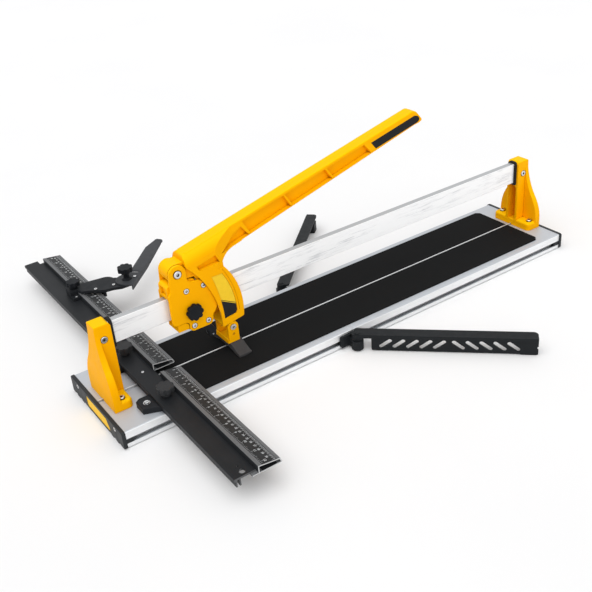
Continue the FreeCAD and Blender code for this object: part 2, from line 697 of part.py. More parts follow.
def lever_casting():
    hub = rod((pivot_x, -hub_half, pivot_z), Y_AXIS, hub_r, 2 * hub_half)
    saddle = slab([(pivot_x, pivot_z + hub_r), (-296.5, pivot_z + hub_r), (-250, 214),
                   (-250, 190), (-262, 182), (-280, 182), (-283.2, pivot_z - hub_r + 0.4),
                   (pivot_x + 6, pivot_z - hub_r + 1.6)], -hub_half, hub_half)
    lug_half = ear_half - ear_thick - 0.4
    lug = join([rod((foot_pin_x, -lug_half, foot_pin_z), Y_AXIS, 7.6, 2 * lug_half),
                box((foot_pin_x - 7.6, foot_pin_x + 7.6), (-lug_half, lug_half),
                    (foot_pin_z, 91))])
    body = join([lever_beam(), hub, saddle, sector_shell(), lug])
    for side_y in (-1, 1):
        clear = rod((pivot_x, side_y * hub_half, pivot_z), Y_AXIS * side_y, 16.6, 12)
        body = body.cut(clear)
        for pocket in side_pockets():
            body = body.cut(pocket if side_y < 0 else pocket.mirror(V(0, 0, 0), Y_AXIS))
        grip = grip_pad(0, -lever_half - 1)
        window = slab([(-280.5, 208), (-246, 216), (-238.5, 201), (-276, 198.5)],
                      -sector_half - 1, -sector_half + 8)
        label = slab(label_path, -sector_half - 1, -sector_half + 1.2)
        groove = slab(groove_path, -sector_half - 1, -sector_half + 0.8)
        for cut in (grip, window, label, groove):
            body = body.cut(cut if side_y < 0 else cut.mirror(V(0, 0, 0), Y_AXIS))
    body = body.cut(rod((pivot_x, -40, pivot_z), Y_AXIS, 4.05, 80))
    return body.cut(rod((foot_pin_x, -40, foot_pin_z), Y_AXIS, foot_pin_r + 0.05, 80))


def grip_inserts():
    """Soft insert let into each side of the lever's end."""
    near = grip_pad(0.15, -lever_half - 0.6)
    near = near.makeChamfer(0.5, [e for e in near.Edges if on_plane(e, "Y", -lever_half - 0.6)])
    return group(both_sides(near))


def lever_labels():
    near = slab([(-256.9, 180.4), (-238.4, 180.4), ((-225.1, 148), (-219.7, 106.3)),
                 (-222.4, 101.6), (-243, 98.8), ((-248.0, 146), (-256.9, 180.4))],
                -sector_half + 0.7, -sector_half + 1.2)
    return group(both_sides(near))


# ---------------------------------------------------------------- breaking foot
def foot_bracket():
    """Folded bracket that hangs from the lever's web."""
    left, right = foot_pin_x - 10.0, foot_pin_x + 9.6
    floor_z, floor_high = 48.3, 51.3
    ear = slab([(left, floor_z), (right, floor_z), (right, foot_pin_z),
                ((foot_pin_x, foot_pin_z + 9.6), (left, foot_pin_z))],
               -ear_half, -ear_half + ear_thick)
    floor = box((left - 2.5, right), (-ear_half, ear_half), (floor_z, floor_high))
    lip = slab([(left - 2.5, floor_z), (left - 2.5, floor_z + 8), (left - 0.5, floor_z + 8),
                (left, floor_z)], -ear_half, ear_half)
    body = join([floor, lip] + both_sides(ear))
    body = body.cut(rod((foot_pin_x, -40, foot_pin_z), Y_AXIS, foot_pin_r, 80))
    return body.cut(rod((foot_pin_x, -40, 62.5), Y_AXIS, 2.6, 80))


def foot_wing():
    """Near wing: slopes from the bracket down to its pressing edge."""
    low = deck_top + pad_thick + 0.3
    root = 48.3
    path = [(0, root), (-17.5, root), (-wing_reach + 2, low + wing_edge),
            ((-wing_reach + 0.5, low + wing_edge - 0.5), (-wing_reach, low + wing_edge - 2)),
            (-wing_reach, low), (-wing_reach + 6, low), (-14, root - 10), (0, root - 10)]
    return bar(path, wing_left, wing_right)


def foot_wings():
    body = join(both_sides(foot_wing()))
    rocker = foot_pin_z - deck_top - pad_thick - 0.3
    body = body.common(rod((foot_pin_x, -60, foot_pin_z), Y_AXIS, rocker, 120))
    return body.makeFillet(1.2, [e for e in body.Edges if e.BoundBox.XLength < 1e-4
                                 and e.BoundBox.ZLength > 8 and e.BoundBox.YLength > 20
                                 and e.BoundBox.ZMax > 48])


def foot_pin():
    pin = rod((foot_pin_x, -ear_half, foot_pin_z), Y_AXIS, foot_pin_r, 2 * ear_half)
    heads = [rod((foot_pin_x, -ear_half - 1.6, foot_pin_z), Y_AXIS, 5.2, 1.6),
             rod((foot_pin_x, ear_half, foot_pin_z), Y_AXIS, 5.2, 1.6)]
    body = join([pin] + heads)
    return body.cut(rod((foot_pin_x, -ear_half - 2, foot_pin_z), Y_AXIS, 1.8, 1.5))


# ---------------------------------------------------------------- lateral stop
def stop_plate():
    low = stop_top - stop_thick
    top = box((stop_left, stop_right), (stop_near, stop_far), (low, stop_top))
    edge = box((stop_left, stop_left + 3), (stop_near, stop_far), (stop_top - 5, stop_top))
    ribs = [box((stop_left + x, stop_left + x + 2.2), (stop_near, stop_far), (stop_lip_bottom, low))
            for x in (2.2, 8.0)]
    body = join([top, edge] + ribs)
    body = soften(body, 1.0, lambda e: on_plane(e, "Z", stop_top) and on_plane(e, "X", stop_left))
    body = body.cut(box((stop_right - 7.5, stop_right + 1), (stop_far - 15, stop_far + 1), (30, 50)))
    body = body.cut(box((stop_left + 1, stop_left + 12), (-2.6, 2.6), (30, deck_top + bar_proud + 0.5)))
    for x, y, r in ((stop_left + 18.1, stop_near + 9, 4.8), (stop_left + 18.1, stop_near + 21, 1.5)):
        body = body.cut(rod((x, y, 30), Z_AXIS, r, 30))
    for y in (-clamp_y, clamp_y):
        body = body.cut(rod((clamp_x, y, 30), Z_AXIS, 3.3, 30))
        reach = sorted(math.copysign(v, y) for v in (47.7, 89.8))
        body = body.cut(box((stop_left - 1, stop_left + 12), reach, (30, low)))
        body = body.cut(box((stop_left - 1, stop_left + 3.9), reach, (30, block_high)))
    for y in ruler_screw_y:
        body = body.cut(rod((ruler_screw_x, y, 30), Z_AXIS, 1.5, stop_top - 1 - 30))
    return body.cut(rod((plate_screw_x, plate_screw_y, 30), Z_AXIS, 1.5, 30))


def ruler(span):
    """Hollow rule with a sloping scale face and a flange under the plate."""
    low = stop_top - stop_thick - ruler_wall
    path = [(ruler_left, ruler_high), (ruler_right - 2.8, ruler_low), (ruler_right, low + 1.4),
            (ruler_right - 1.4, low), (ruler_left - ruler_hook, low),
            (ruler_left - ruler_hook, low + ruler_wall), (ruler_left, low + ruler_wall)]
    inner = [(ruler_left + ruler_wall, ruler_high - ruler_wall - 0.3),
             (ruler_right - 4.2, ruler_low - ruler_wall), (ruler_right - 2.2, low + ruler_wall + 0.6),
             (ruler_right - 2.8, low + ruler_wall), (ruler_left + ruler_wall, low + ruler_wall)]
    body = slab(path, *span).cut(slab(inner, *span))
    for y in ruler_screw_y:
        if span[0] < y < span[1]:
            body = body.cut(rod((ruler_screw_x, y, 30), Z_AXIS, 1.55, 14))
    return body


def ruler_screws():
    low = stop_top - stop_thick - ruler_wall
    fixings = [cap_screw((ruler_screw_x, y, low), Z_AXIS * -1, 2.6, 1.2, 1.5, stop_top - low - 1.1, 0.9)
               for y in ruler_screw_y]
    return group(fixings + [cap_screw((plate_screw_x, plate_screw_y, stop_top), Z_AXIS, 2.4, 0.9,
                                      1.5, stop_thick + 1, 0.9)])


def stop_block():
    """Near block that carries the plate; the far one is its mirror image."""
    high = stop_top - stop_thick
    right, left = stop_left + 30.6, stop_left - 23.7
    path = [(right, -48), (left + 7.3, -48), (left, -53), (left, -77), (stop_left + 7.6, -89.5),
            (right, -89.5)]
    body = sheet(path, deck_top, block_high)
    body = body.makeFillet(1.0, [e for e in body.Edges if on_plane(e, "Z", block_high)
                                 and e.BoundBox.XMin < stop_left + 6])
    ledge_right = ruler_left - ruler_hook - 0.3
    body = join([body, box((stop_left + 4, ledge_right), (-86, -51), (block_high - 1, high))])
    body = body.cut(rod((clamp_x, -clamp_y, 20), Z_AXIS, 3.3, 40))
    return body.cut(rod((block_screw_x, -block_screw_y, 20), Z_AXIS, 2.6, 40))


def block_screws():
    high = block_high
    screws = []
    for y in (-block_screw_y, block_screw_y):
        washer = rod((block_screw_x, y, high), Z_AXIS, 5.6, 0.8)
        head = rod((block_screw_x, y, high + 0.8), Z_AXIS, 3.9, 1.6)
        shank = rod((block_screw_x, y, deck_top), Z_AXIS, 2.5, high - deck_top + 0.4)
        slot = box((block_screw_x - 5, block_screw_x + 5), (y - 0.5, y + 0.5), (high + 1.6, high + 3))
        screws.append(join([washer, head, shank]).cut(slot))
    return group(screws)


def clamp_knob(y):
    base = stop_top + 0.3
    grip = star((clamp_x, y, base + clamp_knob_high - 8), Z_AXIS, clamp_knob_r, 8, 8.0)
    neck = rod((clamp_x, y, base), Z_AXIS, 7.5, clamp_knob_high - 7)
    stud = rod((clamp_x, y, deck_top + 1), Z_AXIS, 3.0, base - deck_top)
    return join([grip, neck, stud])


# ---------------------------------------------------------------- angle fence


def slider_body():
    """Saddle on the rear rule with a tongue out to the fence's pivot."""
    x, y, r = fence_x, fence_y, 16.5
    back = x - 101.5
    saddle = sheet([(x - 84, y + 18), (x - 72, y + 11.5), (x - 47, y - 7), (x - 34, y - 9),
                    (x - 18, y - 16.2), (x - 4, y - r), ((x + r, y), (x - 4, y + r)),
                    (x - 16.7, y + 27), ((x - 22, y + 37), (x - 32, y + 41.5)), (x - 57, y + 46),
                    (x - 75, y + 48), (x - 78, y + 54), (x - 97, y + 54),
                    ((x - 100.3, y + 52.3), (back, y + 49)), (back, y + 33), (x - 87.8, y + 30)],
                   slider_low, slider_high)
    hook = box((back, ruler_left - 0.35), (y + 17, y + 54), (stop_top + 0.35, stop_top + 5.5))
    neck = box((back, ruler_left - 0.35), (y + 30, y + 54), (stop_top + 4.5, slider_high - 1))
    far = box((ruler_right + 0.35, ruler_right + 4), (y - 3, y + 43), (ruler_low - 5.3, slider_low))
    low = ruler_low - 6.3
    cut = slab([(ruler_left - 0.35, ruler_high + 0.35), (ruler_right - 2.5, ruler_low + 0.4),
                (ruler_right + 0.35, low), (ruler_left - 0.35, low)], y - 29, y + 61)
    body = join([saddle, hook, neck, far]).cut(cut)
    body = body.cut(rod((x, y, 40), Z_AXIS, 3.05, 40))
    for x, y, z in slider_screw_spots:
        body = body.cut(rod((x, y, z - 3.6), Z_AXIS, 1.55, 4))
    return body.cut(rod((slider_knob_x, slider_knob_y, 40), Z_AXIS, 2.6, 40))


def slider_screws():
    return group(cap_screw((x, y, z), Z_AXIS, 3.0, 1.3, 1.5, 3.5, 1.1)
                 for x, y, z in slider_screw_spots)


def slider_knob():
    grip = star((slider_knob_x, slider_knob_y, slider_high + 6), Z_AXIS, 13.0, 8, 8.0)
    neck = rod((slider_knob_x, slider_knob_y, slider_high + 0.3), Z_AXIS, 7.0, 7)
    stud = rod((slider_knob_x, slider_knob_y, ruler_high + 0.6), Z_AXIS, 2.5, slider_high - ruler_high)
    return join([grip, neck, stud])


def turned(shape, degrees, x, y):
    shape = shape.copy()
    shape.rotate(V(x, y, 0), Z_AXIS, degrees)
    return shape


def fence_blade():
    """Modelled pointing along +X from its pivot, then turned to its angle."""
    x, y = fence_x, fence_y
    low, high = fence_low, fence_low + fence_thick
    right, left, tip, disc = -fence_right, fence_left, fence_tip, fence_disc_r
    path = [(x - 22, y + right), (x + tip - 12, y + right),
            ((x + tip - 2.5, y + right + 1.5), (x + tip, y + right + 9)),
            ((x + tip + 0.5, y + right + 14), (x + tip - 4, y + right + 16.5)),
            (x + 127, y + left + 2.6), (x + 25, y + left), (x + 18.5, y + 9.5),
            ((x - 6, y + 20.1), (x - disc, y)), (x - 22, y - 4)]
    blade = sheet(path, low, high)
    flange = slab([(x - 22, high), (x - 22, fence_flange_low), (x + 60, fence_flange_low),
                   (x + tip - 14, low - 1), (x + tip - 14, high)], y + right, y + right + 2.2)
    body = join([blade, flange])
    body = body.cut(rod((x, y, 50), Z_AXIS, 3.05, 30))
    body = body.cut(rod((x + fence_screw_in, y - fence_screw_off, 50), Z_AXIS, 1.5, 30))
    slot = sheet([(x + 26, y - 12), ((x + 28.5, y - 14.5), (x + 31, y - 12)), (x + 31, y - 1),
                  ((x + 28.5, y + 1.5), (x + 26, y - 1))], low - 1, high + 1)
    return turned(body.cut(slot), fence_angle, x, y)


def fence_screws():
    low = fence_low + fence_thick
    screw = cap_screw((fence_x + fence_screw_in, fence_y - fence_screw_off, low), Z_AXIS,
                      3.1, 1.4, 1.45, 2.3, 1.1)
    return turned(screw, fence_angle, fence_x, fence_y)


def fence_knob():
    base = fence_low + fence_thick + 0.3
    neck = rod((fence_x, fence_y, base), Z_AXIS, 5.5, 18)
    flare = Part.makeCone(10.0, 5.5, 4.0, V(fence_x, fence_y, base), Z_AXIS)
    grip = star((fence_x, fence_y, base + 16), Z_AXIS, 14.5, 8, 9.0)
    stud = rod((fence_x, fence_y, slider_low), Z_AXIS, 3.0, base - slider_low + 1)
    return join([neck, flare, grip, stud])


# ---------------------------------------------------------------- swing arms


def arm_bracket():
    """Near bracket: a plate in the bed's side slot with a knuckle for the arm."""
    y0 = -side
    plate = box((arm_x - 24, arm_x + 20), (y0 - 4.5, y0 - 0.02), (4, 25))
    plate = plate.makeFillet(3, [e for e in plate.Edges if e.BoundBox.YLength > 4
                                 and e.BoundBox.DiagonalLength < 5])
    key = box((arm_x - 24, arm_x + 20), (y0 - 1, y0 + slot_lip + 2),
              (slot_low + 0.1, slot_high - 0.1))
    web = box((arm_x - 8, arm_x + 8), (-arm_y, y0 - 2), (4, 19.5))
    knuckle = rod((arm_x, -arm_y, 2.5), Z_AXIS, knuckle_r, 17.2)
    point = Part.makeCone(6.0, knuckle_r, 2.0, V(arm_x, -arm_y, 0.8), Z_AXIS)
    body = join([plate, key, web, knuckle, point])
    return body.cut(rod((arm_x, -arm_y, -1), Z_AXIS, 3.0, 40))


def arm_pins():
    pin = join([rod((arm_x, -arm_y, 1.2), Z_AXIS, 3.0, arm_top - 0.9),
                rod((arm_x, -arm_y, arm_top + 0.3), Z_AXIS, 4.6, 0.8)])
    return group(both_sides(pin))


def swing_arm():
    """Near arm, modelled along +X from its pivot, then swung out."""
    x, y = arm_x, -arm_y
    low = arm_top - arm_thick
    top = sheet([(x - 6, y - arm_outer + 4), (x - 6, y + arm_inner - 4),
                 ((x - 4.8, y + arm_inner - 1.2), (x - 2, y + arm_inner)),
                 (x + arm_length - 8, y + arm_inner),
                 ((x + arm_length - 2.3, y + arm_inner - 2.3), (x + arm_length, y + arm_inner - 8)),
                 (x + arm_length, y - arm_outer), (x - 2, y - arm_outer),
                 ((x - 4.8, y - arm_outer + 1.2), (x - 6, y - arm_outer + 4))], low, arm_top)
    boss = rod((x, y, 20.2), Z_AXIS, knuckle_r - 1, arm_top - 20.2 - 0.2)
    boss = boss.common(box((x - 20, x + 20), (y - arm_outer, y + 20), (0, 50)))
    web_low = 2.0
    web = slab([(x + 24, low), (x + 24, web_low + 3), ((x + 25, web_low + 1), (x + 27, web_low)),
                (x + arm_length - 29, web_low), (x + arm_length - 28, 0.7),
                (x + arm_length - 3, 0.7), ((x + arm_length - 1, 1.6), (x + arm_length, 4)),
                (x + arm_length, 11), ((x + arm_length - 2.2, 14), (x + arm_length, 17)),
                (x + arm_length, arm_top - 1)], y - arm_outer + 0.8, y - arm_outer + 3.8)
    lip = box((x - 4, x + arm_length - 3), (y - arm_outer - 0.7, y - arm_outer + 3.8),
              (low - 3, arm_top - 0.6))
    foot = box((x + arm_length - 28, x + arm_length - 4), (y - arm_outer + 2, y + arm_inner - 1.5),
               (0.7, 20))
    foot = foot.makeFillet(3, [e for e in foot.Edges if upright(e)])
    pillar = box((x + arm_length - 20, x + arm_length - 12), (y - arm_outer + 2, y + arm_inner - 6),
                 (15, low + 1))
    body = join([top, boss, web, lip, foot, pillar])
    mid = x + 24 + arm_pitch * (arm_slots + 0.75)
    for i in range(arm_slots):
        for sign in (-1, 1):
            centre = mid + sign * (15.5 + arm_pitch * i)
            body = body.cut(slanted_slot(centre, 15.5, sign, y))
    body = body.cut(rod((x, y, 0), Z_AXIS, 3.06, 60))
    return turned(body, -arm_angle, x, y)


def slanted_slot(x, z, sign, y):
    """Weight-saving slot through the arm's web, leaning in or out."""
    reach, r = 9.2, 3.6
    a = math.radians(37)
    dx, dz = reach * math.cos(a), reach * math.sin(a)
    nx, nz = r * math.sin(a), r * math.cos(a)
    ex, ez = r * math.cos(a), r * math.sin(a)
    m = -sign
    path = [(x - m * (dx - nx), z - dz - nz), (x + m * (dx + nx), z + dz - nz),
            ((x + m * (dx + ex), z + dz + ez), (x + m * (dx - nx), z + dz + nz)),
            (x - m * (dx + nx), z - dz + nz),
            ((x - m * (dx + ex), z - dz - ez), (x - m * (dx - nx), z - dz - nz))]
    return slab(path, y - 12, y)


# ---------------------------------------------------------------- write the parts
def main():
    os.makedirs("parts", exist_ok=True)
    mirror_x = lambda shape: shape.mirror(V(0, 0, 0), X_AXIS)
    mirror_y = lambda shape: shape.mirror(V(0, 0, 0), Y_AXIS)

    save("bed_extrusion", bed_extrusion())
    save("breaking_bar", breaking_bar())
    rear_pad = rubber_pad()
    save("rear_pad", rear_pad)
    save("front_pad", mirror_y(rear_pad))
    cap = end_cap()
    save("end_cap_right", cap)
    save("end_cap_left", mirror_x(cap))
    save("end_cap_screws", cap_screws())
    save("end_cap_labels", cap_labels())
    save("rubber_feet", rubber_feet())

    right_post = post()
    save("post_right", right_post)
    save("post_left", other_post(right_post))
    save("post_screws", post_screws())
    save("rail", rail())
    save("rail_screws", rail_screws())
    seal = rail_seal()
    save("rail_buffer_right", seal)
    save("rail_buffer_left", other_post(seal))

    save("carriage_plate_near", carriage_plate(True))
    save("carriage_plate_far", carriage_plate(False))
    save("carriage_bridge", carriage_bridge())
    save("carriage_floor", carriage_floor())
    save("slide_pad", slide_pad())
    save("carriage_bolts", carriage_screws())
    save("pivot_bolt", pivot_bolt())
    save("guide_roller_left", guide_roller(roller_x[0]))
    save("guide_roller_right", guide_roller(roller_x[1]))
    save("star_knob", star_knob())
    save("wheel_holder", wheel_holder())
    save("wheel_axle", wheel_axle())
    save("scoring_wheel", scoring_wheel())

    save("lever", lever_casting())
    save("grip_inserts", grip_inserts())
    save("lever_labels", lever_labels())
    save("foot_bracket", foot_bracket())
    save("foot_wings", foot_wings())
    save("foot_pin", foot_pin())

    save("stop_plate", stop_plate())
    save("ruler_rear", ruler(rear_ruler))
    save("ruler_front", ruler(front_ruler))
    save("ruler_screws", ruler_screws())
    block = stop_block()
    save("stop_block_front", block)
    save("stop_block_rear", mirror_y(block))
    save("block_screws", block_screws())
    save("clamp_knob_front", clamp_knob(-clamp_y))
    save("clamp_knob_rear", clamp_knob(clamp_y))
    save("slider_body", slider_body())
    save("slider_screws", slider_screws())
    save("slider_knob", slider_knob())
    save("fence_blade", fence_blade())
    save("fence_screw", fence_screws())
    save("fence_knob", fence_knob())

    bracket = arm_bracket()
    save("arm_bracket_front", bracket)
    save("arm_bracket_rear", mirror_y(bracket))
    save("arm_pins", arm_pins())
    arm = swing_arm()
    save("arm_front", arm)
    save("arm_rear", mirror_y(arm))


main()
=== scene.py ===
"""Finish and small details of a manual tile cutter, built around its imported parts."""
import math

import bmesh
import bpy
from mathutils import Matrix, Vector


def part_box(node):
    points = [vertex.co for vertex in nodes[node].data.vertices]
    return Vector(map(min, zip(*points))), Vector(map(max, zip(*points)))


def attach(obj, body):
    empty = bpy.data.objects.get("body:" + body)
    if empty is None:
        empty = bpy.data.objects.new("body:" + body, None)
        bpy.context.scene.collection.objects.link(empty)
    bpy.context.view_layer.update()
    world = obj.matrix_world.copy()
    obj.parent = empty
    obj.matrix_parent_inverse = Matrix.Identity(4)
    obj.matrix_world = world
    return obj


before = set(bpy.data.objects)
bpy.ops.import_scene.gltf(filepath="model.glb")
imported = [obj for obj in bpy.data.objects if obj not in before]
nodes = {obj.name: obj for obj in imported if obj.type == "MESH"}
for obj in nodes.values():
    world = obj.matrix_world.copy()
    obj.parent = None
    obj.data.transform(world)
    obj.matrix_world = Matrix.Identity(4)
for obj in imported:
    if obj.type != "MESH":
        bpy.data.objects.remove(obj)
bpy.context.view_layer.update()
MM = 0.001


# ---------------------------------------------------------------- finishes: helpers
class Finish:
    """Material under construction: its tree, its shader and where a point lies."""

    def __init__(self, name):
        self.material = bpy.data.materials.new(name)
        self.material.use_nodes = True
        self.tree = self.material.node_tree
        self.shader = self.tree.nodes["Principled BSDF"]
        coordinates = self.tree.nodes.new("ShaderNodeTexCoord")
        self.place = coordinates.outputs["Object"]
        self.facing = coordinates.outputs["Normal"]

    def set(self, **values):
        for key, value in values.items():
            self.shader.inputs[key.replace("_", " ")].default_value = value
        return self

    def feed(self, name, value):
        self.tree.links.new(value, self.shader.inputs[name])

    def node(self, kind, inputs=(), **settings):
        made = self.tree.nodes.new("ShaderNode" + kind)
        for key, value in settings.items():
            setattr(made, key, value)
        for key, value in dict(inputs).items():
            socket = made.inputs[key]
            if isinstance(value, bpy.types.NodeSocket):
                self.tree.links.new(value, socket)
            else:
                socket.default_value = value
        return made

    def stretched(self, x, y, z, turn=(0, 0, 0)):
        return self.node("Mapping", {"Vector": self.place, "Scale": (x, y, z),
                                     "Rotation": turn}).outputs["Vector"]

    def grain(self, per_metre, detail=3.0, rough=0.5, at=None):
        return self.node("TexNoise", {"Vector": at or self.place, "Scale": per_metre,
                                      "Detail": detail, "Roughness": rough}).outputs["Fac"]

    def spread(self, value, low, high, to_low=0.0, to_high=1.0):
        return self.node("MapRange", {"Value": value, "From Min": low, "From Max": high,
                                      "To Min": to_low, "To Max": to_high}).outputs["Result"]

    def blend(self, share, first, second):
        mixed = self.tree.nodes.new("ShaderNodeMix")
        mixed.data_type = "RGBA"
        for socket, value in ((mixed.inputs[0], share), (mixed.inputs[6], first),
                              (mixed.inputs[7], second)):
            if isinstance(value, bpy.types.NodeSocket):
                self.tree.links.new(value, socket)
            else:
                socket.default_value = value if socket.type != "RGBA" else (*value, 1.0)
        return mixed.outputs[2]

    def math(self, first, second, how="ADD"):
        return self.node("Math", {0: first, 1: second}, operation=how).outputs[0]

    def along(self, axis):
        return self.node("SeparateXYZ", {0: self.place}).outputs[axis]

    def normal_along(self, axis):
        across = self.node("SeparateXYZ", {0: self.facing}).outputs[axis]
        return self.node("Math", {0: across}, operation="ABSOLUTE").outputs[0]

    def facing_up(self, low, high):
        """0 on upright faces, 1 on faces that look up."""
        up = self.node("SeparateXYZ", {0: self.facing}).outputs["Z"]
        return self.spread(up, low, high)

    def rounded(self, radius):
        """Normal with the sharp edges eased by a small radius."""
        return self.node("Bevel", {"Radius": radius}, samples=4).outputs["Normal"]

    def relief(self, height, depth, strength, under=None):
        inputs = {"Height": height, "Distance": depth, "Strength": strength}
        if under is not None:
            inputs["Normal"] = under
        return self.node("Bump", inputs).outputs["Normal"]

    def hollow(self, reach, open_share, shut_share):
        """1 deep in narrow gaps and sockets, 0 on open faces."""
        open_sky = self.node("AmbientOcclusion", {"Distance": reach}, samples=6).outputs["AO"]
        return self.spread(open_sky, open_share, shut_share)

    def worn_edges(self, radius):
        """1 on sharp edges, 0 on flats."""
        eased = self.rounded(radius)
        true = self.node("NewGeometry").outputs["Normal"]
        agree = self.node("VectorMath", {0: eased, 1: true}, operation="DOT_PRODUCT")
        return self.spread(agree.outputs["Value"], 1.0, 0.86)


# ---------------------------------------------------------------- rule: places from its outer edge
BAND = (31.8 * MM, 8.0 * MM)                # dark printed band
MARKS = (31.2 * MM, 8.6 * MM)               # inch marks, centimetre marks
OUTER_RIDGES = (7.6 * MM, 3.4 * MM)
INNER_RIDGES = (37.6 * MM, 32.4 * MM)
RIDGES_EACH = 5


# ---------------------------------------------------------------- finishes
def cast_paint(name, bright, deep, painted_top_light):
    """Satin paint on a die casting: soft orange peel, faint clouds, painted light and shade."""
    f = Finish(name).set(Roughness=0.40, IOR=1.5, Specular_IOR_Level=0.03)
    clouds = f.spread(f.grain(14.0, 4.0, 0.6), 0.35, 0.7)
    # painted light: faces that look up get the paler, more yellow tone
    upward = f.facing_up(0.25, 0.9)
    colour = f.blend(upward, f.blend(clouds, bright, deep), painted_top_light)
    # painted highlight: sharp edges paler, in patches set by a grain
    edge = f.math(f.worn_edges(0.6 * MM), f.spread(f.grain(240.0, 3.0), 0.35, 0.62), "MULTIPLY")
    painted_edge_highlight = tuple(min(1.0, c * 1.06) for c in bright)
    shell = f.blend(f.spread(edge, 0.0, 1.0, 0.0, 0.5), colour, painted_edge_highlight)
    # painted shade: deep orange-brown in hollows, creases and counterbores
    f.feed("Base Color", f.blend(f.hollow(5.0 * MM, 0.62, 0.12), shell, (0.36, 0.120, 0.0)))
    f.feed("Roughness", f.spread(f.grain(60.0, 4.0), 0.3, 0.7, 0.33, 0.48))
    peel = f.math(f.grain(620.0, 2.0), f.spread(f.grain(150.0, 2.0), 0.0, 1.0, 0.0, 0.8))
    f.feed("Normal", f.relief(peel, 0.05 * MM, 0.5, f.rounded(0.7 * MM)))
    return f.material


def extruded_aluminium(name, top_painted_light_tone, side_painted_light_tone, rough, metal):
    """Satin extrusion: fine lengthwise die lines, a little cloudiness, painted light and shade."""
    f = Finish(name).set(Roughness=rough, IOR=1.5)
    lines = f.grain(1.0, 3.0, 0.7, f.stretched(3.0, 900.0, 900.0))
    clouds = f.grain(9.0, 4.0, 0.55)
    # painted light and shade: faces that look up and upright faces get their own tones
    upward = f.facing_up(0.5, 0.9)
    tint = f.blend(upward, side_painted_light_tone, top_painted_light_tone)
    share = f.math(f.spread(lines, 0.3, 0.7, 0.0, 0.45), f.spread(clouds, 0.4, 0.65, 0.0, 0.35))
    dull = f.blend(upward, tuple(c * 0.84 for c in side_painted_light_tone), tuple(c * 0.92 for c in top_painted_light_tone))
    bare = f.blend(share, tint, dull)
    # painted shade: near-black in grooves and hollows
    f.feed("Base Color", f.blend(f.hollow(14.0 * MM, 0.50, 0.15), bare, (0.035, 0.037, 0.040)))
    f.feed("Metallic", f.spread(upward, 0.0, 1.0, 0.75, metal))
    f.feed("Roughness", f.spread(lines, 0.3, 0.7, rough - 0.07, rough + 0.08))
    f.feed("Normal", f.relief(lines, 0.03 * MM, 0.45, f.rounded(0.3 * MM)))
    return f.material


def brushed_rail(name):
    """Guide rail, brushed by hand in short strokes a little off its length."""
    f = Finish(name).set(Roughness=0.40, IOR=1.5)
    strokes = f.grain(1.0, 4.0, 0.72, f.stretched(26.0, 420.0, 420.0, (0, math.radians(-9), 0)))
    fine = f.grain(1.0, 2.0, 0.6, f.stretched(60.0, 2400.0, 2400.0, (0, math.radians(-4), 0)))
    patches = f.spread(f.grain(1.0, 2.0, 0.5, f.stretched(14.0, 60.0, 60.0)), 0.42, 0.62)
    mark = f.math(f.spread(strokes, 0.50, 0.62), patches, "MULTIPLY")
    # painted light and shade: faces not facing along Y get the darker top tone
    side = f.spread(f.normal_along("Y"), 0.4, 0.8)
    top_painted_light_tone = (0.47, 0.48, 0.49)
    face = f.blend(mark, (0.965, 0.967, 0.97), (0.66, 0.665, 0.68))
    f.feed("Base Color", f.blend(side, top_painted_light_tone, face))
    f.feed("Metallic", f.spread(side, 0.0, 1.0, 0.80, 0.25))
    f.feed("Roughness", f.spread(fine, 0.3, 0.7, 0.34, 0.50))
    both = f.math(strokes, fine)
    f.feed("Normal", f.relief(both, 0.03 * MM, 0.5, f.rounded(0.4 * MM)))
    return f.material


def dark_profile(name):
    """Anodised stop profile: near-black satin, bare metal where it was sawn."""
    f = Finish(name).set(Metallic=0.0, Roughness=0.42, IOR=1.5, Specular_IOR_Level=0.12)
    lines = f.grain(1.0, 3.0, 0.65, f.stretched(1100.0, 4.0, 1100.0))
    clouds = f.spread(f.grain(18.0, 3.0), 0.35, 0.7)
    dark = f.blend(clouds, (0.012, 0.0135, 0.0155), (0.017, 0.0185, 0.021))
    streaky = f.blend(f.spread(lines, 0.5, 0.75, 0.0, 0.5), dark, (0.030, 0.032, 0.036))
    sawn = f.spread(f.normal_along("Y"), 0.90, 0.97)
    f.feed("Base Color", f.blend(sawn, streaky, (0.10, 0.102, 0.105)))
    f.feed("Roughness", f.spread(lines, 0.3, 0.7, 0.36, 0.50))
    f.feed("Normal", f.relief(lines, 0.02 * MM, 0.4, f.rounded(0.25 * MM)))
    return f.material


def ruler_profile(name):
    """Rule profile: like the stop, with a darker printed band between paler edges."""
    outer_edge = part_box("ruler_rear")[1].x
    band_left, band_right = outer_edge - BAND[0], outer_edge - BAND[1]
    f = Finish(name).set(Metallic=0.0, Roughness=0.42, IOR=1.5, Specular_IOR_Level=0.15)
    lines = f.grain(1.0, 3.0, 0.65, f.stretched(1400.0, 4.0, 1400.0))
    x = f.along("X")
    left = f.spread(x, band_left - 0.1 * MM, band_left + 0.1 * MM)
    right = f.spread(x, band_right + 0.1 * MM, band_right - 0.1 * MM)
    band = f.math(left, right, "MULTIPLY")
    upward = f.facing_up(0.6, 0.9)
    edges = f.blend(f.spread(lines, 0.3, 0.7), (0.115, 0.119, 0.124), (0.185, 0.190, 0.197))
    printed = f.blend(f.spread(f.grain(90.0, 3.0), 0.3, 0.7), (0.018, 0.019, 0.020),
                      (0.025, 0.027, 0.029))
    top = f.blend(band, edges, printed)
    body = f.blend(upward, (0.022, 0.024, 0.027), top)
    sawn = f.spread(f.normal_along("Y"), 0.90, 0.97)
    f.feed("Base Color", f.blend(sawn, body, (0.52, 0.525, 0.53)))
    f.feed("Roughness", f.spread(lines, 0.3, 0.7, 0.36, 0.50))
    f.feed("Normal", f.relief(lines, 0.02 * MM, 0.4, f.rounded(0.25 * MM)))
    return f.material


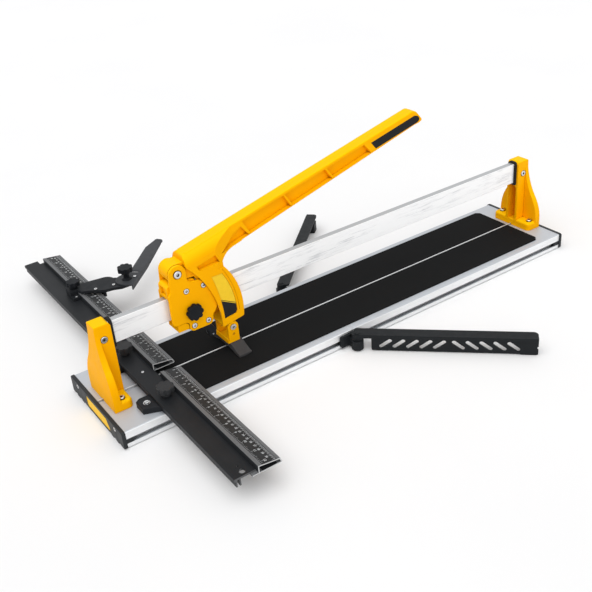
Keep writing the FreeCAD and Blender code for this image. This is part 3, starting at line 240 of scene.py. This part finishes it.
def moulded_plastic(name, tint, rough, grain_depth=0.05):
    """Moulded part with a fine spark-eroded grain and a painted highlight on its edges."""
    f = Finish(name).set(Roughness=rough, IOR=1.46, Specular_IOR_Level=0.12)
    clouds = f.spread(f.grain(30.0, 4.0), 0.35, 0.7)
    painted_plastic_edge_highlight = tuple(c * 1.35 + 0.002 for c in tint)
    plain = f.blend(clouds, tint, tuple(c * 1.18 for c in tint))
    # painted highlight: sharp edges lighter
    f.feed("Base Color", f.blend(f.spread(f.worn_edges(0.4 * MM), 0.2, 1.0, 0.0, 0.6),
                                 plain, painted_plastic_edge_highlight))
    f.feed("Roughness", f.spread(f.grain(70.0, 3.0), 0.3, 0.7, rough - 0.06, rough + 0.08))
    skin = f.grain(1500.0, 2.0)
    f.feed("Normal", f.relief(skin, grain_depth * MM, 0.35, f.rounded(0.4 * MM)))
    return f.material


def powder_coat(name, tint):
    """Powder coat over bent steel sheet: fine pebbled skin, painted highlight on the edges."""
    f = Finish(name).set(Roughness=0.5, IOR=1.5, Specular_IOR_Level=0.12)
    pebble = f.node("TexVoronoi", {"Vector": f.place, "Scale": 1100.0}).outputs["Distance"]
    soft = f.grain(420.0, 2.0)
    clouds = f.spread(f.grain(16.0, 4.0), 0.35, 0.7)
    plain = f.blend(clouds, tint, tuple(c * 1.2 for c in tint))
    # painted highlight: sharp edges lighter
    f.feed("Base Color", f.blend(f.spread(f.worn_edges(0.4 * MM), 0.2, 1.0, 0.0, 0.55),
                                 plain, tuple(c * 1.8 for c in tint)))
    f.feed("Roughness", f.spread(f.grain(90.0, 3.0), 0.3, 0.7, 0.42, 0.56))
    f.feed("Normal", f.relief(f.math(pebble, soft), 0.04 * MM, 0.35, f.rounded(0.4 * MM)))
    return f.material


def foam_rubber(name, tint):
    """Bed pad: matt closed-cell rubber, finely pitted, faintly dusty."""
    f = Finish(name).set(Roughness=0.85, IOR=1.45, Specular_IOR_Level=0.06)
    pits = f.node("TexVoronoi", {"Vector": f.place, "Scale": 620.0}).outputs["Distance"]
    dust = f.spread(f.grain(11.0, 6.0, 0.65), 0.45, 0.8)
    speck = f.spread(f.grain(900.0, 2.0), 0.62, 0.72)
    plain = f.blend(dust, tint, tuple(c * 1.25 for c in tint))
    f.feed("Base Color", f.blend(f.spread(speck, 0.0, 1.0, 0.0, 0.4), plain,
                                 tuple(c * 1.7 for c in tint)))
    f.feed("Roughness", f.spread(dust, 0.0, 1.0, 0.78, 0.92))
    f.feed("Normal", f.relief(pits, 0.12 * MM, 0.35, f.rounded(0.4 * MM)))
    return f.material


def soft_rubber(name, tint, rough):
    """Moulded rubber of the grips, feet and buffers."""
    f = Finish(name).set(Roughness=rough, IOR=1.45, Specular_IOR_Level=0.15)
    soft = f.grain(300.0, 4.0)
    clouds = f.spread(f.grain(25.0, 4.0), 0.35, 0.7)
    f.feed("Base Color", f.blend(clouds, tint, tuple(c * 1.3 for c in tint)))
    f.feed("Roughness", f.spread(soft, 0.3, 0.7, rough - 0.08, rough + 0.08))
    f.feed("Normal", f.relief(soft, 0.06 * MM, 0.4, f.rounded(0.5 * MM)))
    return f.material


def zinc_steel(name, tint=(0.74, 0.75, 0.76), rough=0.26):
    """Bright zinc-plated steel with faint turning marks."""
    f = Finish(name).set(Metallic=1.0, Roughness=rough)
    fine = f.grain(1900.0, 2.0)
    clouds = f.spread(f.grain(160.0, 3.0), 0.3, 0.7)
    bright = f.blend(clouds, tint, tuple(c * 0.82 for c in tint))
    # painted shade: near-black in sockets and close under heads
    f.feed("Base Color", f.blend(f.hollow(3.0 * MM, 0.96, 0.58), bright, (0.02, 0.02, 0.022)))
    f.feed("Roughness", f.spread(clouds, 0.0, 1.0, rough - 0.06, rough + 0.12))
    f.feed("Normal", f.relief(fine, 0.02 * MM, 0.3, f.rounded(0.25 * MM)))
    return f.material


def plain_film(name, ground, panel, height, slope):
    """Printed film: a bright ground and a dark lower panel under a slanting line."""
    f = Finish(name).set(Roughness=0.3, IOR=1.5, Specular_IOR_Level=0.05)
    slant = f.math(f.along("Z"), f.math(f.along("X"), slope, "MULTIPLY"))
    below = f.spread(slant, height + 0.15 * MM, height - 0.15 * MM)
    line = f.math(f.spread(slant, height + 2.6 * MM, height + 2.3 * MM),
                  f.spread(slant, height + 1.1 * MM, height + 1.4 * MM), "MULTIPLY")
    mark = f.math(below, line, "MAXIMUM")
    fade = f.blend(f.spread(f.grain(80.0, 3.0), 0.3, 0.7), ground,
                   tuple(c * 0.93 for c in ground))
    f.feed("Base Color", f.blend(mark, fade, panel))
    f.feed("Roughness", f.spread(f.grain(200.0, 3.0), 0.3, 0.7, 0.25, 0.38))
    return f.material


# ---------------------------------------------------------------- finishes in use
BELOW_FILM = -1.0                           # no dark panel: its line lies far below the film
YELLOW, YELLOW_DEEP = (0.975, 0.445, 0.0), (0.95, 0.415, 0.0)
# painted light: paler yellow for faces that look up
YELLOW_PAINTED_TOP_LIGHT = (0.985, 0.570, 0.002)
yellow_cast = cast_paint("yellow_cast_paint", YELLOW, YELLOW_DEEP, YELLOW_PAINTED_TOP_LIGHT)
bed_metal = extruded_aluminium("bed_extrusion_aluminium", (0.52, 0.55, 0.59),
                               (0.90, 0.91, 0.92), 0.46, 0.25)
bar_metal = extruded_aluminium("breaking_bar_aluminium", (0.80, 0.81, 0.82),
                               (0.80, 0.81, 0.82), 0.42, 0.40)
rail_metal = brushed_rail("guide_rail_aluminium")
stop_metal = dark_profile("stop_anodised")
rule_metal = ruler_profile("rule_anodised")
stop_plastic = moulded_plastic("stop_block_plastic", (0.014, 0.0155, 0.018), 0.48)
cap_plastic = moulded_plastic("end_cap_plastic", (0.027, 0.029, 0.031), 0.42)
knob_plastic = moulded_plastic("knob_plastic", (0.0085, 0.010, 0.0125), 0.46, 0.07)
clamp_plastic = moulded_plastic("clamp_knob_plastic", (0.030, 0.031, 0.033), 0.46, 0.07)
fence_coat = powder_coat("fence_powder_coat", (0.046, 0.049, 0.054))
arm_coat = powder_coat("arm_powder_coat", (0.011, 0.0125, 0.014))
pad_rubber = foam_rubber("bed_pad_rubber", (0.009, 0.0092, 0.0095))
wing_rubber = soft_rubber("breaking_foot_rubber", (0.045, 0.044, 0.045), 0.55)
grip_rubber = soft_rubber("grip_rubber", (0.012, 0.012, 0.013), 0.6)
foot_rubber = soft_rubber("foot_rubber", (0.014, 0.014, 0.015), 0.7)
screw_steel = zinc_steel("screw_zinc")
roller_steel = zinc_steel("roller_steel", (0.62, 0.63, 0.64), 0.34)
wheel_steel = zinc_steel("scoring_wheel_steel", (0.55, 0.55, 0.56), 0.22)
lever_film = plain_film("lever_label_film", (0.93, 0.60, 0.03), (0.020, 0.020, 0.021),
                        height=-3.0 * MM, slope=0.55)
cap_film = plain_film("end_cap_label_film", (0.965, 0.57, 0.002), (0.020, 0.020, 0.021),
                      height=BELOW_FILM, slope=0.0)

FINISHES = {
    yellow_cast: ("post_left", "post_right", "carriage_plate_near", "carriage_plate_far",
                  "carriage_bridge", "carriage_floor", "lever", "foot_bracket"),
    bed_metal: ("bed_extrusion",),
    bar_metal: ("breaking_bar",),
    rail_metal: ("rail",),
    stop_metal: ("stop_plate",),
    rule_metal: ("ruler_rear", "ruler_front"),
    stop_plastic: ("stop_block_front", "stop_block_rear", "slider_body", "wheel_holder",
                   "slide_pad"),
    cap_plastic: ("end_cap_left", "end_cap_right"),
    knob_plastic: ("star_knob", "slider_knob", "fence_knob"),
    clamp_plastic: ("clamp_knob_front", "clamp_knob_rear"),
    fence_coat: ("fence_blade",),
    arm_coat: ("arm_front", "arm_rear", "arm_bracket_front", "arm_bracket_rear",
               "arm_pins"),
    pad_rubber: ("front_pad", "rear_pad"),
    wing_rubber: ("foot_wings",),
    grip_rubber: ("grip_inserts",),
    foot_rubber: ("rubber_feet", "rail_buffer_left", "rail_buffer_right"),
    screw_steel: ("end_cap_screws", "post_screws", "rail_screws", "ruler_screws",
                  "block_screws", "carriage_bolts", "pivot_bolt", "foot_pin",
                  "wheel_axle", "slider_screws", "fence_screw"),
    roller_steel: ("guide_roller_left", "guide_roller_right"),
    wheel_steel: ("scoring_wheel",),
    lever_film: ("lever_labels",),
    cap_film: ("end_cap_labels",),
}
for finish, names in FINISHES.items():
    for name in names:
        piece = nodes[name]
        piece.data.materials.clear()
        piece.data.materials.append(finish)


# ---------------------------------------------------------------- modelling: helpers
def deselect():
    if bpy.context.object and bpy.context.object.mode != "OBJECT":
        bpy.ops.object.mode_set(mode="OBJECT")
    bpy.ops.object.select_all(action="DESELECT")


def pick(*pieces):
    deselect()
    for piece in pieces:
        piece.select_set(True)
    bpy.context.view_layer.objects.active = pieces[0]


def settle(piece):
    """Move the object's place, turn and scale into its mesh."""
    pick(piece)
    bpy.ops.object.transform_apply(location=True, rotation=True, scale=True)
    return piece


def block(name, low, high):
    deselect()
    middle = [(a + b) / 2 for a, b in zip(low, high)]
    bpy.ops.mesh.primitive_cube_add(size=1, location=middle)
    piece = bpy.context.object
    piece.name = piece.data.name = name
    piece.scale = [b - a for a, b in zip(low, high)]
    return settle(piece)


def changed(piece, kind, **settings):
    """Add one modifier and apply it."""
    pick(piece)
    modifier = piece.modifiers.new(kind.lower(), kind)
    for key, value in settings.items():
        setattr(modifier, key, value)
    bpy.ops.object.modifier_apply(modifier=modifier.name)
    return piece


def repeated(piece, step, count):
    return changed(piece, "ARRAY", count=count, use_relative_offset=False,
                   use_constant_offset=True, constant_offset_displace=step)


def joined(name, pieces):
    pick(*pieces)
    if len(pieces) > 1:
        bpy.ops.object.join()
    piece = bpy.context.object
    piece.name = piece.data.name = name
    return piece


def dressed(piece, finish, body):
    piece.data.materials.clear()
    piece.data.materials.append(finish)
    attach(piece, body)


# ---------------------------------------------------------------- rules
RULE_RIM = 6 * MM                           # depth in which a rule's top edges lie
PRINT_HIGH = 0.04 * MM
PRINT_CLEAR = 0.005 * MM                    # ink stands this far off the metal
NUMERAL_BOLD = 0.12 * MM
INCH = 25.4
# millimetres: step, length, width
CENTIMETRE_MARKS = ((1, -3.2, 0.24), (5, -4.6, 0.32), (10, -6.0, 0.36))
# parts of an inch, then length and width in millimetres
INCH_MARKS = ((8, 2.4, 0.34), (2, 3.8, 0.34), (1, 5.2, 0.34))
# millimetres: in from the marks' edge, height of the figure
CENTIMETRE_NUMERAL = (8.6, 4.5)
INCH_NUMERAL = (8.0, 5.6)
# millimetres kept free of figures at the first end and the last
CENTIMETRE_FREE = (2, 3)
INCH_FREE = (3, 3)
RIDGE_HIGH, RIDGE_SUNK = 0.28 * MM, 0.1 * MM
RIDGE_ROUND = 0.2 * MM
RIDGE_SHORT = 0.05 * MM                     # ridges stop short of the sawn ends
RIDGE_GAP = 0.18                            # share of the pitch on either side of a ridge


def rule_top(x):
    """Height of the rules' sloping top at x, and its slope."""
    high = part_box("ruler_rear")[1]
    corners = [v.co for v in nodes["ruler_rear"].data.vertices if v.co.z > high.z - RULE_RIM]
    left = max(corners, key=lambda c: (round(c.z, 5), -c.x))
    right = max((c for c in corners if c.x > high.x - RULE_RIM), key=lambda c: round(c.z, 5))
    height = left.z + (x - left.x) / (right.x - left.x) * (right.z - left.z)
    return height, math.atan2(left.z - right.z, right.x - left.x)


def ticks(name, x_edge, reach, y_from, way, step, count, wide):
    """Row of marks that starts at y_from and runs along way (+1 or -1)."""
    x_from, x_to = sorted((x_edge, x_edge + reach))
    first = block(name, (x_from, y_from - wide / 2, 0), (x_to, y_from + wide / 2, PRINT_HIGH))
    return repeated(first, (0, way * step, 0), count)


def numeral(text, x, y, tall):
    """Figure that reads along the rule, its top towards the rule's outer edge."""
    deselect()
    bpy.ops.object.text_add(location=(0, 0, 0))
    piece = bpy.context.object
    piece.data.body = text
    piece.data.size = tall
    piece.data.align_x = "CENTER"
    piece.data.align_y = "CENTER"
    piece.data.resolution_u = 2
    piece.data.extrude = PRINT_HIGH / 2
    piece.data.offset = NUMERAL_BOLD
    bpy.ops.object.convert(target="MESH")
    piece = bpy.context.object
    piece.rotation_euler = (0, 0, math.radians(-90))
    piece.location = (x, y, PRINT_HIGH / 2)
    return settle(piece)


def scale_print(name, node, way):
    """Centimetre marks on the outer edge of the band and inch marks on its inner edge."""
    low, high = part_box(node)
    band_left, band_right = high.x - MARKS[0], high.x - MARKS[1]
    near, far = (low.y, high.y) if way > 0 else (-high.y, -low.y)
    first_mm = math.ceil(near / MM) + 1
    last_mm = math.floor(far / MM) - 1
    made = []
    for step, reach, wide in CENTIMETRE_MARKS:
        start = math.ceil(first_mm / step) * step
        count = (last_mm - start) // step + 1
        made.append(ticks("mark", band_right, reach * MM, way * start * MM, way,
                          step * MM, count, wide * MM))
    for share, reach, wide in INCH_MARKS:
        step = INCH / share
        start = math.ceil(first_mm / step) * step
        count = int((last_mm - start) // step) + 1
        made.append(ticks("mark", band_left, reach * MM, way * start * MM, way,
                          step * MM, count, wide * MM))
    first_centimetre = math.ceil((first_mm + CENTIMETRE_FREE[0]) / 10)
    for centimetre in range(first_centimetre, (last_mm - CENTIMETRE_FREE[1]) // 10 + 1):
        made.append(numeral(str(centimetre), band_right - CENTIMETRE_NUMERAL[0] * MM,
                            way * centimetre * 10 * MM, CENTIMETRE_NUMERAL[1] * MM))
    first_inch = max(1, math.ceil((first_mm + INCH_FREE[0]) / INCH))
    for inches in range(first_inch, int((last_mm - INCH_FREE[1]) // INCH) + 1):
        made.append(numeral(str(inches), band_left + INCH_NUMERAL[0] * MM,
                            way * inches * INCH * MM, INCH_NUMERAL[1] * MM))
    piece = joined(name, made)
    height, slope = rule_top(band_left)
    pick(piece)
    piece.data.transform(Matrix.Translation((-band_left, 0, 0)))
    piece.data.transform(Matrix.Rotation(slope, 4, "Y"))
    piece.data.transform(Matrix.Translation((band_left, 0, height + PRINT_CLEAR)))
    return piece


def edge_ridges(name, node, x_from, x_to, count):
    """Fine extruded ridges along one edge of a rule."""
    low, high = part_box(node)
    pitch = (x_to - x_from) / count
    ridge = block(name, (x_from + RIDGE_GAP * pitch, low.y + RIDGE_SHORT, -RIDGE_SUNK),
                  (x_from + (1 - RIDGE_GAP) * pitch, high.y - RIDGE_SHORT, RIDGE_HIGH))
    pick(ridge)
    bpy.ops.object.mode_set(mode="EDIT")
    mesh = bmesh.from_edit_mesh(ridge.data)
    for edge in mesh.edges:
        middle = (edge.verts[0].co + edge.verts[1].co) / 2
        long_edge = abs(edge.verts[0].co.y - edge.verts[1].co.y) > 1 * MM
        edge.select_set(long_edge and middle.z > 0)
    bmesh.update_edit_mesh(ridge.data)
    bpy.ops.mesh.bevel(offset=RIDGE_ROUND, segments=2, affect="EDGES")
    bpy.ops.object.mode_set(mode="OBJECT")
    piece = repeated(ridge, (pitch, 0, 0), count)
    height, slope = rule_top(x_from)
    piece.data.transform(Matrix.Translation((-x_from, 0, 0)))
    piece.data.transform(Matrix.Rotation(slope, 4, "Y"))
    piece.data.transform(Matrix.Translation((x_from, 0, height)))
    return piece


def plain_print(name, tint):
    """Marking ink, slightly uneven."""
    f = Finish(name).set(Roughness=0.55, IOR=1.45)
    uneven = f.spread(f.grain(700.0, 4.0), 0.35, 0.75)
    f.feed("Base Color", f.blend(uneven, tint, tuple(c * 0.72 for c in tint)))
    f.feed("Roughness", f.spread(uneven, 0.0, 1.0, 0.5, 0.65))
    return f.material


def pale_anodised(name):
    """Ridges along the rules' edges, paler than the rule."""
    f = Finish(name).set(Roughness=0.36, IOR=1.5, Metallic=0.35)
    lines = f.grain(1.0, 2.0, 0.6, f.stretched(1200.0, 4.0, 1200.0))
    f.feed("Base Color", f.blend(f.spread(lines, 0.3, 0.7), (0.13, 0.135, 0.14),
                                 (0.20, 0.205, 0.21)))
    f.feed("Roughness", f.spread(lines, 0.3, 0.7, 0.30, 0.44))
    f.feed("Normal", f.relief(lines, 0.02 * MM, 0.4))
    return f.material


mark_ink = plain_print("rule_marking_ink", (0.62, 0.64, 0.655))
ridge_metal = pale_anodised("rule_edge_anodised")

for node, side, way in (("ruler_rear", "rear", 1), ("ruler_front", "front", -1)):
    outer_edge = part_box(node)[1].x
    dressed(scale_print("rule_print_" + side, node, way), mark_ink, "base")
    for place, (start, end) in (("outer", OUTER_RIDGES), ("inner", INNER_RIDGES)):
        ridges = edge_ridges(f"rule_{place}_ridges_{side}", node, outer_edge - start,
                             outer_edge - end, RIDGES_EACH)
        dressed(ridges, ridge_metal, "base")


# ---------------------------------------------------------------- angle fence
DEGREE_OUTER = 19.4 * MM
DEGREE_INNER, DEGREE_INNER_LONG = 17.0 * MM, 15.6 * MM
DEGREE_HALF_WIDE = 0.22 * MM
LONG_EVERY = 15


def degree_marks(name, first, last, every):
    """Engraved degree marks on the fence's round end, with longer ones between."""
    knob_low, knob_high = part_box("fence_knob")
    centre = (knob_low + knob_high) / 2
    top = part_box("fence_blade")[1].z
    made = []
    for degrees in range(first, last + 1, every):
        inner = DEGREE_INNER_LONG if degrees % LONG_EVERY == 0 else DEGREE_INNER
        mark = block("degree", (inner, -DEGREE_HALF_WIDE, top),
                     (DEGREE_OUTER, DEGREE_HALF_WIDE, top + PRINT_HIGH))
        mark.rotation_euler = (0, 0, math.radians(degrees))
        mark.location = (centre.x, centre.y, 0)
        made.append(settle(mark))
    return joined(name, made)


engraved = plain_print("engraved_mark", (0.010, 0.0105, 0.011))
dressed(degree_marks("fence_degree_marks", first=80, last=230, every=5), engraved, "fence")


# ---------------------------------------------------------------- floor, light, camera
FLOOR_WIDE = 60
FLOOR_DROP = 0.2 * MM                       # floor lies just under the feet


def floor_finish():
    f = Finish("floor_white").set(Roughness=0.9)
    tone = f.spread(f.grain(2.0, 3.0), 0.3, 0.7)
    f.feed("Base Color", f.blend(tone, (0.86, 0.86, 0.865), (0.88, 0.88, 0.882)))
    seen = f.node("LightPath")
    shown = f.math(seen.outputs["Is Camera Ray"], seen.outputs["Is Glossy Ray"], "MAXIMUM")
    glow = f.math(shown, 0.02, "MULTIPLY")
    f.set(Emission_Color=(1, 1, 1, 1))
    f.feed("Emission Strength", glow)
    return f.material


deselect()
bpy.ops.mesh.primitive_plane_add(size=FLOOR_WIDE, location=(0, 0, -FLOOR_DROP))
floor = bpy.context.object
floor.name = "floor"
settle(floor)
floor.data.materials.append(floor_finish())


def studio_world(lighting, seen_directly):
    """White surround: dimmer as a light than as a backdrop and in reflections."""
    world = bpy.data.worlds.new("studio")
    bpy.context.scene.world = world
    world.use_nodes = True
    tree = world.node_tree
    background = tree.nodes["Background"]
    path = tree.nodes.new("ShaderNodeLightPath")
    seen = tree.nodes.new("ShaderNodeMath")
    seen.operation = "MAXIMUM"
    tree.links.new(path.outputs["Is Camera Ray"], seen.inputs[0])
    tree.links.new(path.outputs["Is Glossy Ray"], seen.inputs[1])
    level = tree.nodes.new("ShaderNodeMapRange")
    level.inputs["To Min"].default_value = lighting
    level.inputs["To Max"].default_value = seen_directly
    tree.links.new(seen.outputs[0], level.inputs["Value"])
    tree.links.new(level.outputs[0], background.inputs["Strength"])
    background.inputs["Color"].default_value = (1, 1, 1, 1)


def broad_light(name, towards, spread, strength):
    """Large soft source far above, the same over the whole floor."""
    deselect()
    bpy.ops.object.light_add(type="SUN", location=(0, 0, 3))
    lamp = bpy.context.object
    lamp.name = name
    lamp.data.angle = math.radians(spread)
    lamp.data.energy = strength
    lamp.rotation_euler = Vector(towards).to_track_quat("-Z", "Y").to_euler()


def standing_camera(place, turn, lens):
    """Camera at place; turn is its rotation as axis times angle, world to camera."""
    facing = Matrix.Rotation(turn.length, 3, turn.normalized())
    flip = Matrix.Diagonal((1, -1, -1))
    deselect()
    bpy.ops.object.camera_add()
    camera = bpy.context.object
    camera.name = "camera"
    camera.matrix_world = Matrix.Translation(place) @ (flip @ facing).transposed().to_4x4()
    camera.data.lens = lens
    camera.data.sensor_width = 36.0
    bpy.context.scene.camera = camera


studio_world(lighting=0.60, seen_directly=1.0)
broad_light("overhead_key", towards=(0.30, 0.18, -0.94), spread=70, strength=1.40)
broad_light("front_fill", towards=(0.35, 0.80, -0.45), spread=60, strength=0.70)
standing_camera(place=(-0.7983, -1.1224, 0.8465),
                turn=Vector((2.00181824, -0.67561998, 0.28454199)), lens=53.84)
bpy.context.scene.view_settings.view_transform = "Standard"
